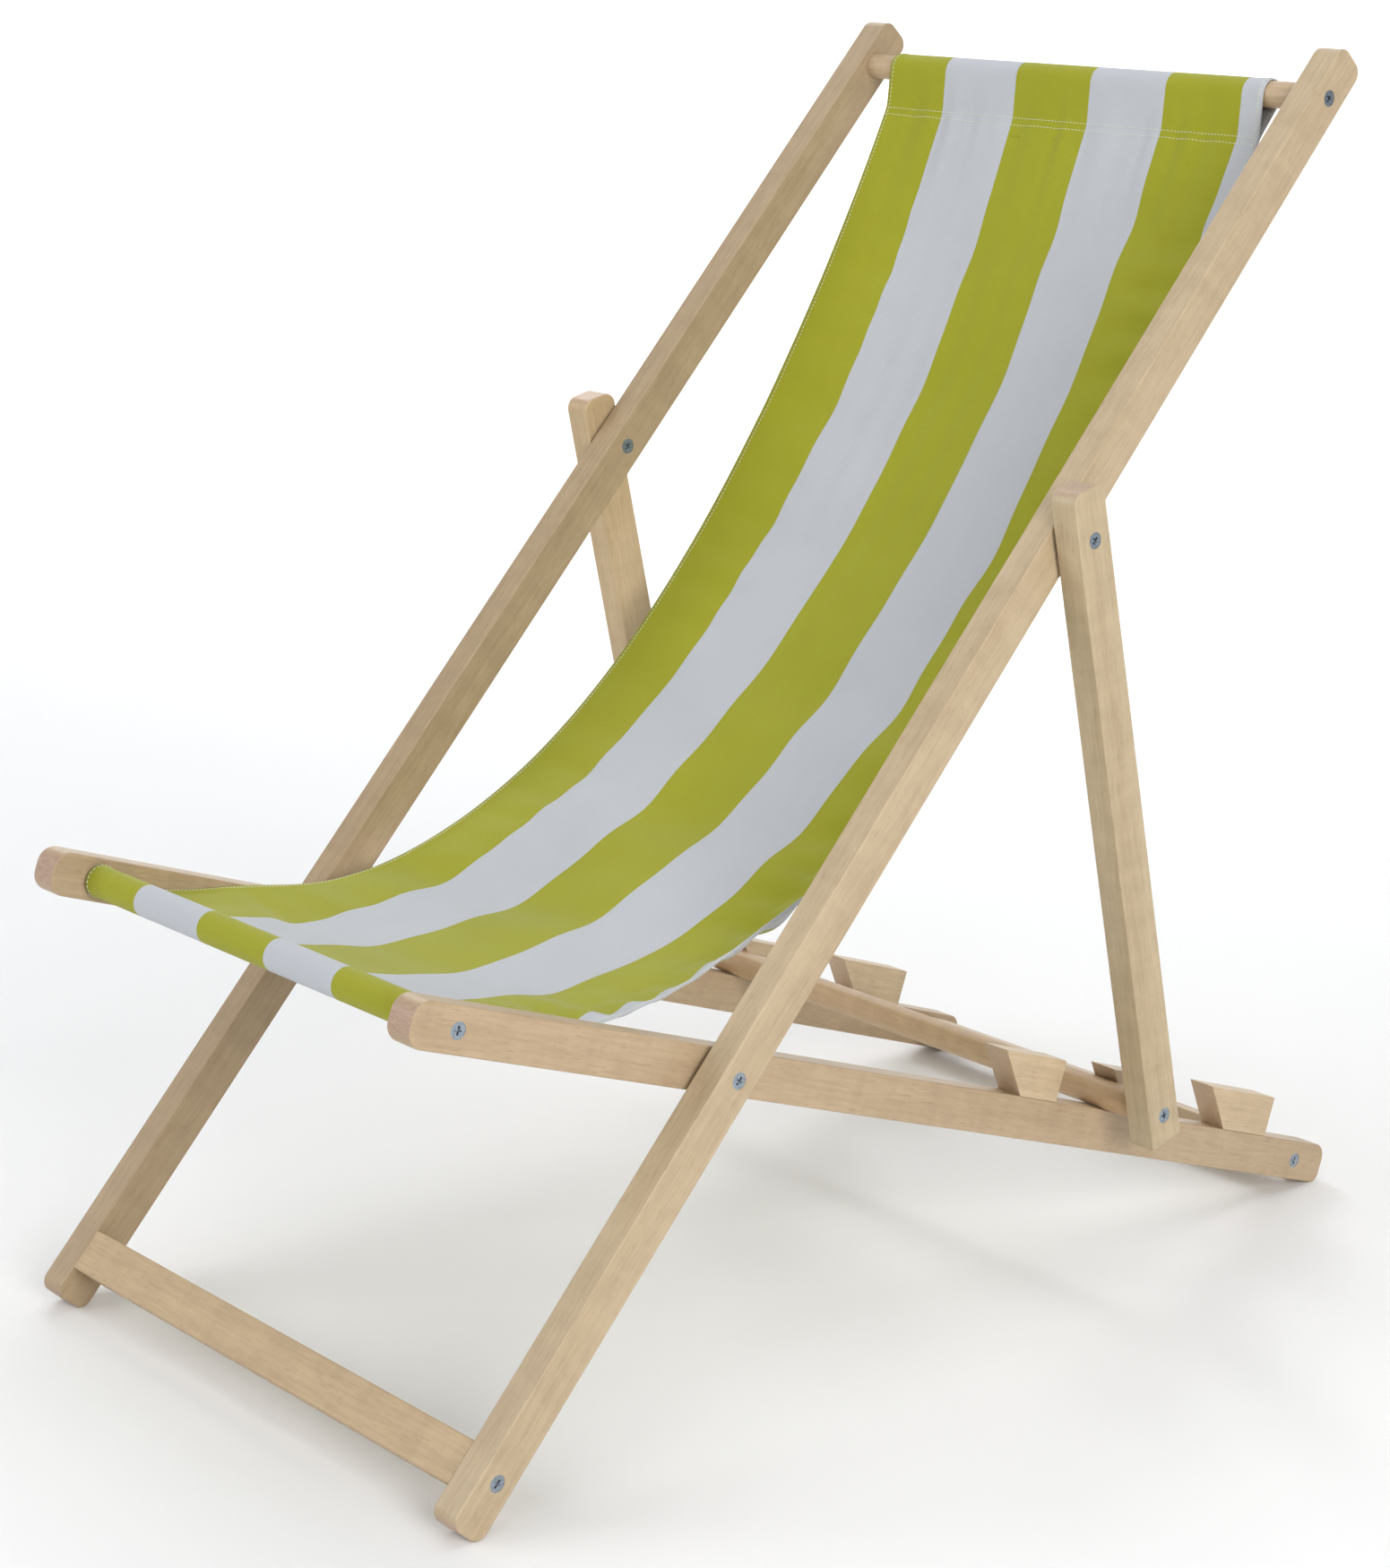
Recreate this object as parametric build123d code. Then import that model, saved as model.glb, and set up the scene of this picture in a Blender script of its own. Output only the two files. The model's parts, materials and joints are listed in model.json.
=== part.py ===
from build123d import *
from math import asin, asinh, atan2, cos, cosh, degrees, hypot, pi, radians, sin, sinh, sqrt
import os

# Folding deck chair. Millimetres, +Z up, the sitter's feet towards -Y, symmetric about X = 0.
# The origin is the middle of the bounding box on the floor.

# --- rails: every frame is cut from one rectangular section ---
rail_width = 24.0            # across the chair
rail_depth = 33.0            # in the plane each frame swings in
edge_round = 1.5             # eased long edges
end_margin = 40.0            # from an end fastener to the end of a rail

# --- back frame: long rails, from the feet to the top ---
back_frame_width = 510.0     # over the outer faces of the two long rails
back_top_to_pivot = 881.0    # main pivot to the top dowel
back_foot_to_pivot = 314.0   # main pivot to the foot crossbar
back_end_radius = 10.0
foot_bar_inset = 1.0         # crossbar's front face behind the rails' front faces

# --- seat frame: inner rails, from the front dowel to the floor at the back ---
seat_gap = 5.0               # between a long rail and a seat rail
seat_front_to_pivot = 235.5  # main pivot to the front dowel
seat_rear_to_pivot = 714.0   # main pivot to the rear crossbar
seat_nose_radius = 13.0
seat_tail_radius = 12.0      # upper corner of the rear end
seat_heel_radius = 9.0       # lower corner, which stands on the floor
rear_bar_width = 33.0

# --- prop frame: outer rails that hold the back up ---
prop_gap = 3.0               # between a long rail and a prop
prop_pivot_to_pivot = 467.5  # main pivot to the prop pivot, along the long rail
prop_tail = 24.0             # prop crossbar to the square-cut foot of the prop
recline = 67.1               # degrees between the long rails and the seat rails, opened

# --- notch blocks on the seat rails ---
notch_pitch = 133.5
first_block = 307.0          # main pivot to the upper front corner of the first block
block_height = 33.0
block_undercut = 30.0        # how far the slanted front face leans in at its foot
short_block = 74.0           # top length of the first and second blocks
long_block = 89.0            # top length of the last block
block_width = 24.0
block_corner = 1.5           # the upper rear corner
block_edge_round = 0.75

# --- round bars ---
sling_dowel = 21.0           # diameter of the two dowels that carry the sling
prop_bar = 23.0              # diameter of the bar that drops into the notches

# --- fasteners ---
head_diameter = 12.5
screw_diameter = 5.0
screw_length = 62.0
bolt_diameter = 6.0
sleeve_diameter = 8.0
washer_diameter = 19.0
head_sink = 0.2
recess_span = 7.2
recess_slot = 1.5
recess_depth = 2.2
recess_rise = 0.45           # how much longer than the recess its tapered point is
sleeve_crown = 1.0           # solid left between a sleeve's recess and its bore

# --- sling ---
sling_side_gap = 1.0         # between the cloth and each seat rail
sling_thickness = 1.6
sling_slack = 1.134          # length of the cloth between the dowels over the straight line
sling_points = 24            # places the hanging curve is drawn through

# --- fits ---
fixed_fit = 0.05             # screws in their holes
running_fit = 0.07           # turning parts round the pivot sleeves
cloth_gap = 0.3              # cloth round the dowels
washer_gap = 0.3             # free play beside a washer
notch_gap = 0.3              # the prop bar off the rails and off the block it leans on

# --- solving for the hanging curve ---
least_bow = 1e-6             # a cloth that is all but straight
most_bow = 20.0
halvings = 60
settling_rounds = 30

# --- derived sizes ---
half_depth = rail_depth / 2
end_flat = 2 * edge_round    # least straight stretch left between two rounded corners of a rail's end


def corner_pair(first, second):
    """Two corner radii at one end of a rail, brought down together where the rail is too thin for both."""
    share = min(1.0, (rail_depth - end_flat) / (first + second))
    return first * share, second * share


heel_radius, tail_radius = corner_pair(seat_heel_radius, seat_tail_radius)
nose_radius = corner_pair(seat_nose_radius, seat_nose_radius)[0]
end_radius = corner_pair(back_end_radius, back_end_radius)[0]
back_outer = back_frame_width / 2
back_inner = back_outer - rail_width
seat_outer = back_inner - seat_gap
seat_inner = seat_outer - rail_width
prop_inner = back_outer + prop_gap
prop_outer = prop_inner + rail_width
bar_radius = prop_bar / 2
dowel_radius = sling_dowel / 2
sling_width = 2 * (seat_inner - sling_side_gap)

# the prop bar sits on the seat rails and leans on the slanted face of the second block
bar_height = half_depth + bar_radius + notch_gap
slant = hypot(block_undercut, block_height)
slant_top = first_block + notch_pitch
slant_face = slant_top + block_undercut * (half_depth + block_height - bar_height) / block_height
bar_reach = slant_face - (bar_radius + notch_gap) * slant / block_height


def from_seat(along, off, angle):
    """A point of a frame that is turned by angle from the seat frame, in the seat frame's own plane."""
    turn = radians(angle)
    return along * cos(turn) - off * sin(turn), along * sin(turn) + off * cos(turn)


# the angle of the seat rails to the floor follows from the two corners that stand on it
foot_corner = from_seat(
    -(back_foot_to_pivot + end_margin - end_radius), -(half_depth - end_radius), recline
)
heel_corner = (seat_rear_to_pivot + end_margin - heel_radius, -(half_depth - heel_radius))
span = (heel_corner[0] - foot_corner[0], heel_corner[1] - foot_corner[1])
seat_slope = degrees(atan2(span[1], span[0]) - asin((heel_radius - end_radius) / hypot(*span)))
back_slope = recline - seat_slope

prop_pivot = from_seat(prop_pivot_to_pivot, 0, recline)
prop_length = hypot(bar_reach - prop_pivot[0], bar_height - prop_pivot[1])
prop_slope = degrees(atan2(bar_height - prop_pivot[1], bar_reach - prop_pivot[0])) - seat_slope


def lift(point):
    """A point of the seat frame's plane, turned so that the floor is level."""
    turn = radians(-seat_slope)
    return (
        point[0] * cos(turn) - point[1] * sin(turn),
        point[0] * sin(turn) + point[1] * cos(turn),
    )


pivot_height = end_radius - lift(foot_corner)[1]
# the box reaches from the tip of the seat rails to the rounded rear corner at the top of the long rails
nose_centre = lift((-(seat_front_to_pivot + end_margin - nose_radius), 0))
nose_side = half_depth - nose_radius
top_corner = lift(
    from_seat(back_top_to_pivot + end_margin - end_radius, -(half_depth - end_radius), recline)
)
tail = lift((seat_rear_to_pivot + end_margin - tail_radius, half_depth - tail_radius))
heel = lift(heel_corner)
front_end = nose_centre[0] - nose_radius - nose_side * sin(radians(seat_slope))
rear_end = max(top_corner[0] + end_radius, tail[0] + tail_radius, heel[0] + heel_radius)
pivot_y = -(front_end + rear_end) / 2


def frame(slope, origin=(0.0, 0.0)):
    """The plane a frame swings in: its x runs along the rails and its normal is +X."""
    turn = radians(slope)
    at = (0, pivot_y + origin[0], pivot_height + origin[1])
    return Plane(origin=at, x_dir=(0, cos(turn), sin(turn)), z_dir=(1, 0, 0))


back_plane = frame(back_slope)
seat_plane = frame(-seat_slope)
prop_plane = frame(prop_slope, lift(prop_pivot))


def board(plane, start, end, depth, width, at, rounds, middle=0.0):
    """A board along the plane's x, its inner face at the given X, its four end corners rounded in turn."""
    outline = Pos((start + end) / 2, middle) * Rectangle(end - start, depth)
    corners = [(start, -1), (start, 1), (end, -1), (end, 1)]
    for (along, side), radius in zip(corners, rounds):
        if radius:
            spot = Vector(along, middle + side * depth / 2, 0)
            outline = fillet(outline.vertices().sort_by_distance(spot)[0], radius)
    solid = extrude(plane * Pos(0, 0, at) * outline, width)
    return fillet(solid.faces().filter_by(Axis.X).edges(), edge_round)


def across(plane, along, off, start, end, radius):
    """A round bar or a hole along X."""
    return plane * Pos(along, off, (start + end) / 2) * Cylinder(radius, end - start)


def cross_recess():
    """The four-armed recess in a fastener's head, which opens at z = 0."""
    arm = Box(recess_span, recess_slot, recess_depth, align=(Align.CENTER, Align.CENTER, Align.MAX))
    point = Pos(0, 0, -recess_depth / 2) * Cone(
        recess_slot, recess_span / 2, recess_depth * (1 + recess_rise)
    )
    return (arm + Rot(0, 0, 90) * arm) & point


def countersunk(shank, length, grow=0.0, deeper=0.0):
    """A countersunk fastener with its head at z = 0 and its shank towards -z; grow makes its hole."""
    head_radius = head_diameter / 2 + grow
    shank_radius = shank / 2 + grow
    cone_height = head_radius - shank_radius
    head = Pos(0, 0, -cone_height / 2) * Cone(shank_radius, head_radius, cone_height)
    stem = Pos(0, 0, -(length + deeper) / 2) * Cylinder(shank_radius, length + deeper)
    if grow:
        return head + stem + Pos(0, 0, head_sink) * Cylinder(head_radius, 2 * head_sink)
    return head + stem - cross_recess()


def sleeve(length):
    """A countersunk sleeve nut, open at its far end for the bolt."""
    bore_depth = length - recess_depth - sleeve_crown
    bore = Pos(0, 0, bore_depth / 2 - length) * Cylinder(bolt_diameter / 2 + fixed_fit, bore_depth)
    return countersunk(sleeve_diameter, length) - bore


def place(plane, along, off, face, outward, tool):
    """Puts a fastener's head at an X face, its shank pointing the other way from outward."""
    turn = Rot(0, 0, 0) if outward > 0 else Rot(0, 180, 0)
    return plane * Pos(along, off, face - outward * head_sink) * turn * tool


def both(solid):
    """The same piece on the +X and the -X side, as separate solids."""
    return Compound([*solid.solids(), *mirror(solid, about=Plane.YZ).solids()])


def save_sides(name, solid):
    export_step(solid, f"parts/{name}_right.step")
    export_step(mirror(solid, about=Plane.YZ), f"parts/{name}_left.step")


os.makedirs("parts", exist_ok=True)

# --- pivots ---
main_bolt_length = rail_width + seat_gap + rail_width / 2
prop_bolt_length = rail_width + prop_gap + rail_width / 2
sleeve_length = rail_width - head_sink
main_bolt = place(back_plane, 0, 0, back_outer, 1, countersunk(bolt_diameter, main_bolt_length))
main_sleeve = place(back_plane, 0, 0, seat_inner, -1, sleeve(sleeve_length))
prop_bolt = place(
    back_plane, prop_pivot_to_pivot, 0, back_inner, -1, countersunk(bolt_diameter, prop_bolt_length)
)
prop_sleeve = place(back_plane, prop_pivot_to_pivot, 0, prop_outer, 1, sleeve(sleeve_length))


def washer(along, start, end):
    ring = across(back_plane, along, 0, start, end, washer_diameter / 2)
    return ring - across(back_plane, along, 0, start, end, bolt_diameter / 2 + fixed_fit)


export_step(both(main_bolt), "parts/main_pivot_bolts.step")
export_step(both(main_sleeve), "parts/main_pivot_sleeves.step")
main_spacer = washer(0, back_inner - seat_gap + washer_gap, back_inner)
export_step(both(main_spacer), "parts/main_pivot_spacers.step")
export_step(both(prop_bolt), "parts/prop_pivot_bolts.step")
export_step(both(prop_sleeve), "parts/prop_pivot_sleeves.step")
prop_washer = washer(prop_pivot_to_pivot, back_outer, back_outer + prop_gap - washer_gap)
export_step(both(prop_washer), "parts/prop_pivot_washers.step")

wood_screw = countersunk(screw_diameter, screw_length)
screw_hole = countersunk(screw_diameter, screw_length, fixed_fit, fixed_fit)

# --- back frame ---
bar_depth = rail_width
foot_bar_middle = half_depth - foot_bar_inset - bar_depth / 2
foot_screw_hole = place(back_plane, -back_foot_to_pivot, 0, back_outer, 1, screw_hole)
top_screw_hole = place(back_plane, back_top_to_pivot, 0, back_outer, 1, screw_hole)
back_rail = board(
    back_plane,
    -(back_foot_to_pivot + end_margin),
    back_top_to_pivot + end_margin,
    rail_depth,
    rail_width,
    back_inner,
    [end_radius] * 4,
)
back_rail -= foot_screw_hole
back_rail -= top_screw_hole
back_rail -= place(
    back_plane, 0, 0, back_outer, 1, countersunk(bolt_diameter, main_bolt_length, fixed_fit)
)
back_rail -= place(
    back_plane,
    prop_pivot_to_pivot,
    0,
    back_inner,
    -1,
    countersunk(bolt_diameter, prop_bolt_length, fixed_fit),
)
save_sides("back_rail", back_rail)

top_dowel = across(back_plane, back_top_to_pivot, 0, -back_inner, back_inner, dowel_radius)
export_step(top_dowel - both(top_screw_hole), "parts/top_dowel.step")

foot_bar = back_plane * Pos(-back_foot_to_pivot, foot_bar_middle) * Box(
    rail_depth, bar_depth, 2 * back_inner
)
foot_bar = fillet(foot_bar.edges().filter_by(Axis.X), edge_round)
export_step(foot_bar - both(foot_screw_hole), "parts/foot_crossbar.step")

top_screw = place(back_plane, back_top_to_pivot, 0, back_outer, 1, wood_screw)
export_step(both(top_screw), "parts/top_dowel_screws.step")
foot_screw = place(back_plane, -back_foot_to_pivot, 0, back_outer, 1, wood_screw)
export_step(both(foot_screw), "parts/foot_crossbar_screws.step")

# --- seat frame ---
front_screw_hole = place(seat_plane, -seat_front_to_pivot, 0, seat_outer, 1, screw_hole)
rear_screw_hole = place(seat_plane, seat_rear_to_pivot, 0, seat_outer, 1, screw_hole)
seat_rail = board(
    seat_plane,
    -(seat_front_to_pivot + end_margin),
    seat_rear_to_pivot + end_margin,
    rail_depth,
    rail_width,
    seat_inner,
    [nose_radius, nose_radius, heel_radius, tail_radius],
)
seat_rail -= front_screw_hole
seat_rail -= rear_screw_hole
seat_rail -= place(
    seat_plane, 0, 0, seat_inner, -1, countersunk(sleeve_diameter, rail_width, running_fit, rail_width)
)
save_sides("seat_rail", seat_rail)

front_dowel = across(seat_plane, -seat_front_to_pivot, 0, -seat_inner, seat_inner, dowel_radius)
export_step(front_dowel - both(front_screw_hole), "parts/front_dowel.step")

rear_bar = seat_plane * Pos(seat_rear_to_pivot, 0) * Box(rear_bar_width, bar_depth, 2 * seat_inner)
rear_bar = fillet(rear_bar.edges().filter_by(Axis.X), edge_round)
export_step(rear_bar - both(rear_screw_hole), "parts/rear_crossbar.step")

front_screw = place(seat_plane, -seat_front_to_pivot, 0, seat_outer, 1, wood_screw)
export_step(both(front_screw), "parts/front_dowel_screws.step")
rear_screw = place(seat_plane, seat_rear_to_pivot, 0, seat_outer, 1, wood_screw)
export_step(both(rear_screw), "parts/rear_crossbar_screws.step")


def notch_block(start, length):
    """A block on the seat rail whose front face leans in towards the rail, so the bar can't ride out."""
    floor = half_depth
    top = floor + block_height
    outline = make_face(
        Polyline(
            (start, top),
            (start + length, top),
            (start + length, floor),
            (start + block_undercut, floor),
            close=True,
        )
    )
    rear_top = outline.vertices().sort_by_distance(Vector(start + length, top, 0))[0]
    outline = fillet(rear_top, block_corner)
    solid = extrude(seat_plane * Pos(0, 0, seat_inner) * outline, block_width)
    eased = [e for e in solid.faces().filter_by(Axis.X).edges() if not on_rail(e)]
    return fillet(eased, block_edge_round)


def on_rail(edge):
    """Whether an edge lies on the seat rail's top face."""
    return abs(seat_plane.to_local_coords(edge.center()).Y - half_depth) < fixed_fit


blocks = (("front", short_block), ("middle", short_block), ("rear", long_block))
for index, (name, length) in enumerate(blocks):
    save_sides(f"notch_block_{name}", notch_block(first_block + index * notch_pitch, length))

# --- prop frame ---
prop_screw_hole = place(prop_plane, prop_length, 0, prop_outer, 1, screw_hole)
prop = board(
    prop_plane,
    -end_margin,
    prop_length + prop_tail,
    rail_depth,
    rail_width,
    prop_inner,
    [end_radius, end_radius, 0, 0],
)
prop -= prop_screw_hole
prop -= place(
    prop_plane, 0, 0, prop_outer, 1, countersunk(sleeve_diameter, rail_width, running_fit, rail_width)
)
save_sides("prop", prop)

prop_crossbar = across(prop_plane, prop_length, 0, -prop_inner, prop_inner, bar_radius)
export_step(prop_crossbar - both(prop_screw_hole), "parts/prop_crossbar.step")
prop_screws = both(place(prop_plane, prop_length, 0, prop_outer, 1, wood_screw))
export_step(prop_screws, "parts/prop_crossbar_screws.step")

# --- sling: cloth hung between the two dowels, looped round each ---
loop_inner = dowel_radius + cloth_gap
loop_outer = loop_inner + sling_thickness
loop_middle = (loop_inner + loop_outer) / 2
top_centre = lift(from_seat(back_top_to_pivot, 0, recline))
front_centre = lift((-seat_front_to_pivot, 0))


def hanging(start, end, slack):
    """Catenary between two points: its parameter, lowest position and level, for a given slack."""
    run = end[0] - start[0]
    rise = end[1] - start[1]
    reach = slack * hypot(run, rise)
    goal = sqrt(reach**2 - rise**2) / run
    low, high = least_bow, most_bow
    for _ in range(halvings):
        middle = (low + high) / 2
        low, high = (middle, high) if sinh(middle) / middle < goal else (low, middle)
    size = run / (2 * low)
    lowest = (start[0] + end[0]) / 2 - size * asinh(rise / (2 * size * sinh(run / (2 * size))))
    level = start[1] - size * cosh((start[0] - lowest) / size)
    return size, lowest, level


def tangent_points():
    """Where the cloth leaves the front dowel's top and the top dowel's front."""
    leave = [pi / 2, pi]
    for _ in range(settling_rounds):
        start = (
            front_centre[0] + loop_middle * cos(leave[0]),
            front_centre[1] + loop_middle * sin(leave[0]),
        )
        end = (top_centre[0] + loop_middle * cos(leave[1]), top_centre[1] + loop_middle * sin(leave[1]))
        size, lowest, level = hanging(start, end, sling_slack)
        leave = [
            atan2(sinh((start[0] - lowest) / size), 1) + pi / 2,
            atan2(sinh((end[0] - lowest) / size), 1) + pi / 2,
        ]
    return start, end, size, lowest, level


sling_start, sling_end, sling_size, sling_lowest, sling_level = tangent_points()


def sling_edge(offset):
    """A spline beside the hanging curve, offset along its normal."""
    points = []
    for index in range(sling_points + 1):
        y = sling_start[0] + (sling_end[0] - sling_start[0]) * index / sling_points
        slope = sinh((y - sling_lowest) / sling_size)
        z = sling_size * cosh((y - sling_lowest) / sling_size) + sling_level
        size = hypot(1, slope)
        points.append((y - offset * slope / size, z + offset / size))
    return Spline(*points)


upper = sling_edge(sling_thickness / 2)
lower = sling_edge(-sling_thickness / 2)
band = make_face(upper + Line(upper @ 1, lower @ 1) + lower + Line(lower @ 0, upper @ 0))
for centre in (front_centre, top_centre):
    band += Pos(*centre) * (Circle(loop_outer) - Circle(loop_inner))
side_plane = frame(0)
sling = extrude(side_plane * Pos(0, 0, -sling_width / 2) * band, sling_width)
export_step(sling, "parts/sling.step")
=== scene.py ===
import json
import math

import bmesh
import bpy
import numpy as np
from mathutils import Matrix, Vector


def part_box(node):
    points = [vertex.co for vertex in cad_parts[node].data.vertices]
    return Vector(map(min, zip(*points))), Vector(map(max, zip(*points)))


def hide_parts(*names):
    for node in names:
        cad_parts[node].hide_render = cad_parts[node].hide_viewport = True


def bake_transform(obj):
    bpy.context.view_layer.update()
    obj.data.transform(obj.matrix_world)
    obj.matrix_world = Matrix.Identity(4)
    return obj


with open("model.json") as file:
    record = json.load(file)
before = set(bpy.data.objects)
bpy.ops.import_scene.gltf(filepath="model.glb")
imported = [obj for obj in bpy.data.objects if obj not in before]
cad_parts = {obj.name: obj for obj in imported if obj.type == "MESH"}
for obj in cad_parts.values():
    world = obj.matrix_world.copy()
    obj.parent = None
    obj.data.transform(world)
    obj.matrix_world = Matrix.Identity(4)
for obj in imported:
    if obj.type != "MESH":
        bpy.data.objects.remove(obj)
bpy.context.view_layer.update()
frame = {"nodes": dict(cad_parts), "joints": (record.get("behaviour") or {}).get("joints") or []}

# ------------------------------------------------------------------ where things are
JOINTS = {joint["name"]: joint for joint in frame["joints"]}
PIVOT = np.array(JOINTS["fold"]["pos_m"])
PROP_PIVOT = np.array(JOINTS["prop_swing"]["pos_m"])


def middle(node):
    lo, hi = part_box(node)
    return (np.array(lo) + np.array(hi)) / 2


def size(node):
    lo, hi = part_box(node)
    return np.array(hi) - np.array(lo)


TOP = middle("top_dowel")
FRONT = middle("front_dowel")
BAR = middle("prop_crossbar")
DOWEL = size("top_dowel")[2] / 2
HALF = size("sling")[0] / 2


def slope(a, b):
    return math.atan2(b[2] - a[2], b[1] - a[1])


BACK_SLOPE = slope(PIVOT, TOP)
SEAT_SLOPE = slope(FRONT, PIVOT)
PROP_SLOPE = slope(PROP_PIVOT, BAR)


def show(name, mesh):
    """Puts a finished mesh into the scene as an object."""
    obj = bpy.data.objects.new(name, mesh)
    bpy.context.scene.collection.objects.link(obj)
    return obj


# ------------------------------------------------------------------ node helpers
class Nodes:
    """A material's node tree, written as small calls."""

    def __init__(self, name):
        self.mat = bpy.data.materials.new(name)
        self.mat.use_nodes = True
        self.tree = self.mat.node_tree
        self.bsdf = self.tree.nodes["Principled BSDF"]

    def add(self, kind, inputs=None, **props):
        node = self.tree.nodes.new(kind)
        for key, value in props.items():
            setattr(node, key, value)
        for key, value in (inputs or {}).items():
            self.put(node.inputs[key], value)
        return node

    def put(self, socket, value):
        if isinstance(value, bpy.types.NodeSocket):
            self.tree.links.new(value, socket)
        else:
            socket.default_value = value

    def set(self, **values):
        """Values that are the same all over, each on the shader's own socket."""
        for key, value in values.items():
            self.bsdf.inputs[key.replace("_", " ")].default_value = value

    def math(self, op, a, b=0.0, c=0.0):
        return self.add("ShaderNodeMath", {0: a, 1: b, 2: c}, operation=op).outputs[0]

    def ramp(self, factor, stops):
        node = self.add("ShaderNodeValToRGB", {"Fac": factor})
        for element, (at, colour) in zip(node.color_ramp.elements, stops):
            element.position = at
            element.color = (*colour, 1.0)
        return node.outputs["Color"]

    def mix(self, factor, a, b, blend="MIX"):
        node = self.add("ShaderNodeMix", data_type="RGBA", blend_type=blend)
        self.put(node.inputs[0], factor)
        self.put(node.inputs[6], a if isinstance(a, bpy.types.NodeSocket) else (*a, 1.0))
        self.put(node.inputs[7], b if isinstance(b, bpy.types.NodeSocket) else (*b, 1.0))
        return node.outputs[2]

    def noise(self, vector, scale, detail=2.0, rough=0.5):
        inputs = {"Vector": vector, "Scale": scale, "Detail": detail, "Roughness": rough}
        return self.add("ShaderNodeTexNoise", inputs).outputs["Fac"]

    def scaled(self, vector, scale):
        return self.add("ShaderNodeMapping", {"Vector": vector, "Scale": scale}).outputs[0]

    def bump(self, height, strength, distance):
        node = self.add("ShaderNodeBump", {"Height": height, "Strength": strength, "Distance": distance})
        self.put(self.bsdf.inputs["Normal"], node.outputs["Normal"])


def grey(value):
    return (value, value, value)


def srgb(r, g, b):
    def lin(c):
        c /= 255
        return c / 12.92 if c <= 0.04045 else ((c + 0.055) / 1.055) ** 2.4

    return (lin(r), lin(g), lin(b))


# ------------------------------------------------------------------ beech
def beech(name, turn, axis, shift, tone):
    """Varnished beech whose grain runs along axis. turn lays that axis along the texture's x, shift picks
    a place in the texture, and tone is the board's colour, which for some boards also carries painted shade."""

    def toned(r, g, b):
        return tuple(c * k for c, k in zip(srgb(r, g, b), tone))

    n = Nodes(name)
    coord = n.add("ShaderNodeTexCoord")
    lay = n.add("ShaderNodeMapping", {"Vector": coord.outputs["Object"], "Rotation": turn, "Location": shift})
    lay = lay.outputs[0]
    grain_at = n.scaled(lay, (1.0, 14.0, 14.0))
    broad = n.noise(grain_at, 3.2, 3.0, 0.55)
    fine = n.noise(grain_at, 26.0, 4.0, 0.6)
    fleck = n.noise(n.scaled(lay, (1.0, 7.0, 7.0)), 95.0, 2.0, 0.5)
    figure = n.noise(n.scaled(lay, (1.0, 0.3, 0.3)), 62.0, 2.0, 0.5)
    rings = n.noise(n.scaled(lay, (1.0, 1.0, 6.0)), 160.0, 3.0, 0.6)

    # pale boards with fine streaks
    pale = n.mix(broad, toned(176, 150, 118), toned(204, 181, 149))
    streak = n.ramp(fine, [(0.35, (0.82, 0.80, 0.77)), (0.62, grey(1.0))])
    wood = n.mix(0.62, pale, streak, "MULTIPLY")
    # the soft figure that lies across the grain of a planed face
    figure_shade = n.ramp(figure, [(0.36, (0.93, 0.92, 0.90)), (0.62, (1.03, 1.03, 1.02))])
    wood = n.mix(0.7, wood, figure_shade, "MULTIPLY")
    # beech's short dark flecks
    marks = n.ramp(fleck, [(0.60, grey(0.0)), (0.72, grey(1.0))])
    wood = n.mix(n.math("MULTIPLY", marks, 0.30), wood, toned(150, 110, 80))
    # end grain: where the surface faces along the grain
    facing = n.add("ShaderNodeVectorMath", {0: coord.outputs["Normal"], 1: axis}, operation="DOT_PRODUCT")
    ends = n.ramp(n.math("ABSOLUTE", facing.outputs["Value"]), [(0.55, grey(0.0)), (0.95, grey(1.0))])
    wood = n.mix(ends, wood, n.mix(rings, toned(146, 114, 94), toned(203, 174, 148)))

    n.put(n.bsdf.inputs["Base Color"], wood)
    n.put(n.bsdf.inputs["Roughness"], n.math("MULTIPLY_ADD", fine, 0.16, 0.42))
    n.set(Coat_Weight=0.12, Coat_Roughness=0.35)
    n.bump(fine, 0.25, 0.0004)
    return n.mat


def beech_along(name, angle, shift, tone):
    """Beech for a rail in the YZ plane at that angle."""
    axis = (0.0, math.cos(angle), math.sin(angle))
    # turning by -angle about X lays the rail along Y; a quarter turn about Z then lays it along X
    return beech(name, (-angle, 0.0, -math.pi / 2), axis, shift, tone)


def beech_across(name, shift, tone):
    """Beech for a bar along X."""
    return beech(name, (0.0, 0.0, 0.0), (1.0, 0.0, 0.0), shift, tone)


# most tones are the boards' own, as no two boards of beech match, but two carry painted shade (see below);
# the first entry that a node's name starts with is its own
WOOD = {
    # painted shade: this tone darkens the far back rail for the sling's shade on its inner face
    "back_rail_left": beech_along("beech_back_left_painted_shade", BACK_SLOPE, (0.9, 0.4, 0.3), (0.80, 0.80, 0.77)),
    "back_rail": beech_along("beech_back_right", BACK_SLOPE, (0.3, 0.1, 0.0), (0.98, 1.03, 1.05)),
    "seat_rail": beech_along("beech_seat", SEAT_SLOPE, (1.7, 0.6, 0.2), (0.90, 0.90, 0.90)),
    "notch": beech_along("beech_notch", SEAT_SLOPE, (2.3, 0.2, 0.8), (1.10, 1.14, 1.16)),
    "prop_left": beech_along("beech_prop_left", PROP_SLOPE, (4.4, 0.7, 0.1), (1.04, 1.05, 0.97)),
    "prop_right": beech_along("beech_prop_right", PROP_SLOPE, (3.1, 1.3, 0.5), (0.98, 1.05, 1.06)),
    "foot": beech_across("beech_foot", (0.4, 2.2, 0.9), (0.97, 0.95, 0.88)),
    # painted shade: this tone darkens and warms the prop crossbar for the shade and warm bounce light low by
    # the floor
    "prop_crossbar": beech_across("beech_bar_painted_shade", (1.4, 0.5, 0.3), (1.00, 0.93, 0.86)),
    "": beech_across("beech_cross", (0.8, 1.2, 0.6), (1.0, 1.0, 1.0)),
}


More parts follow.
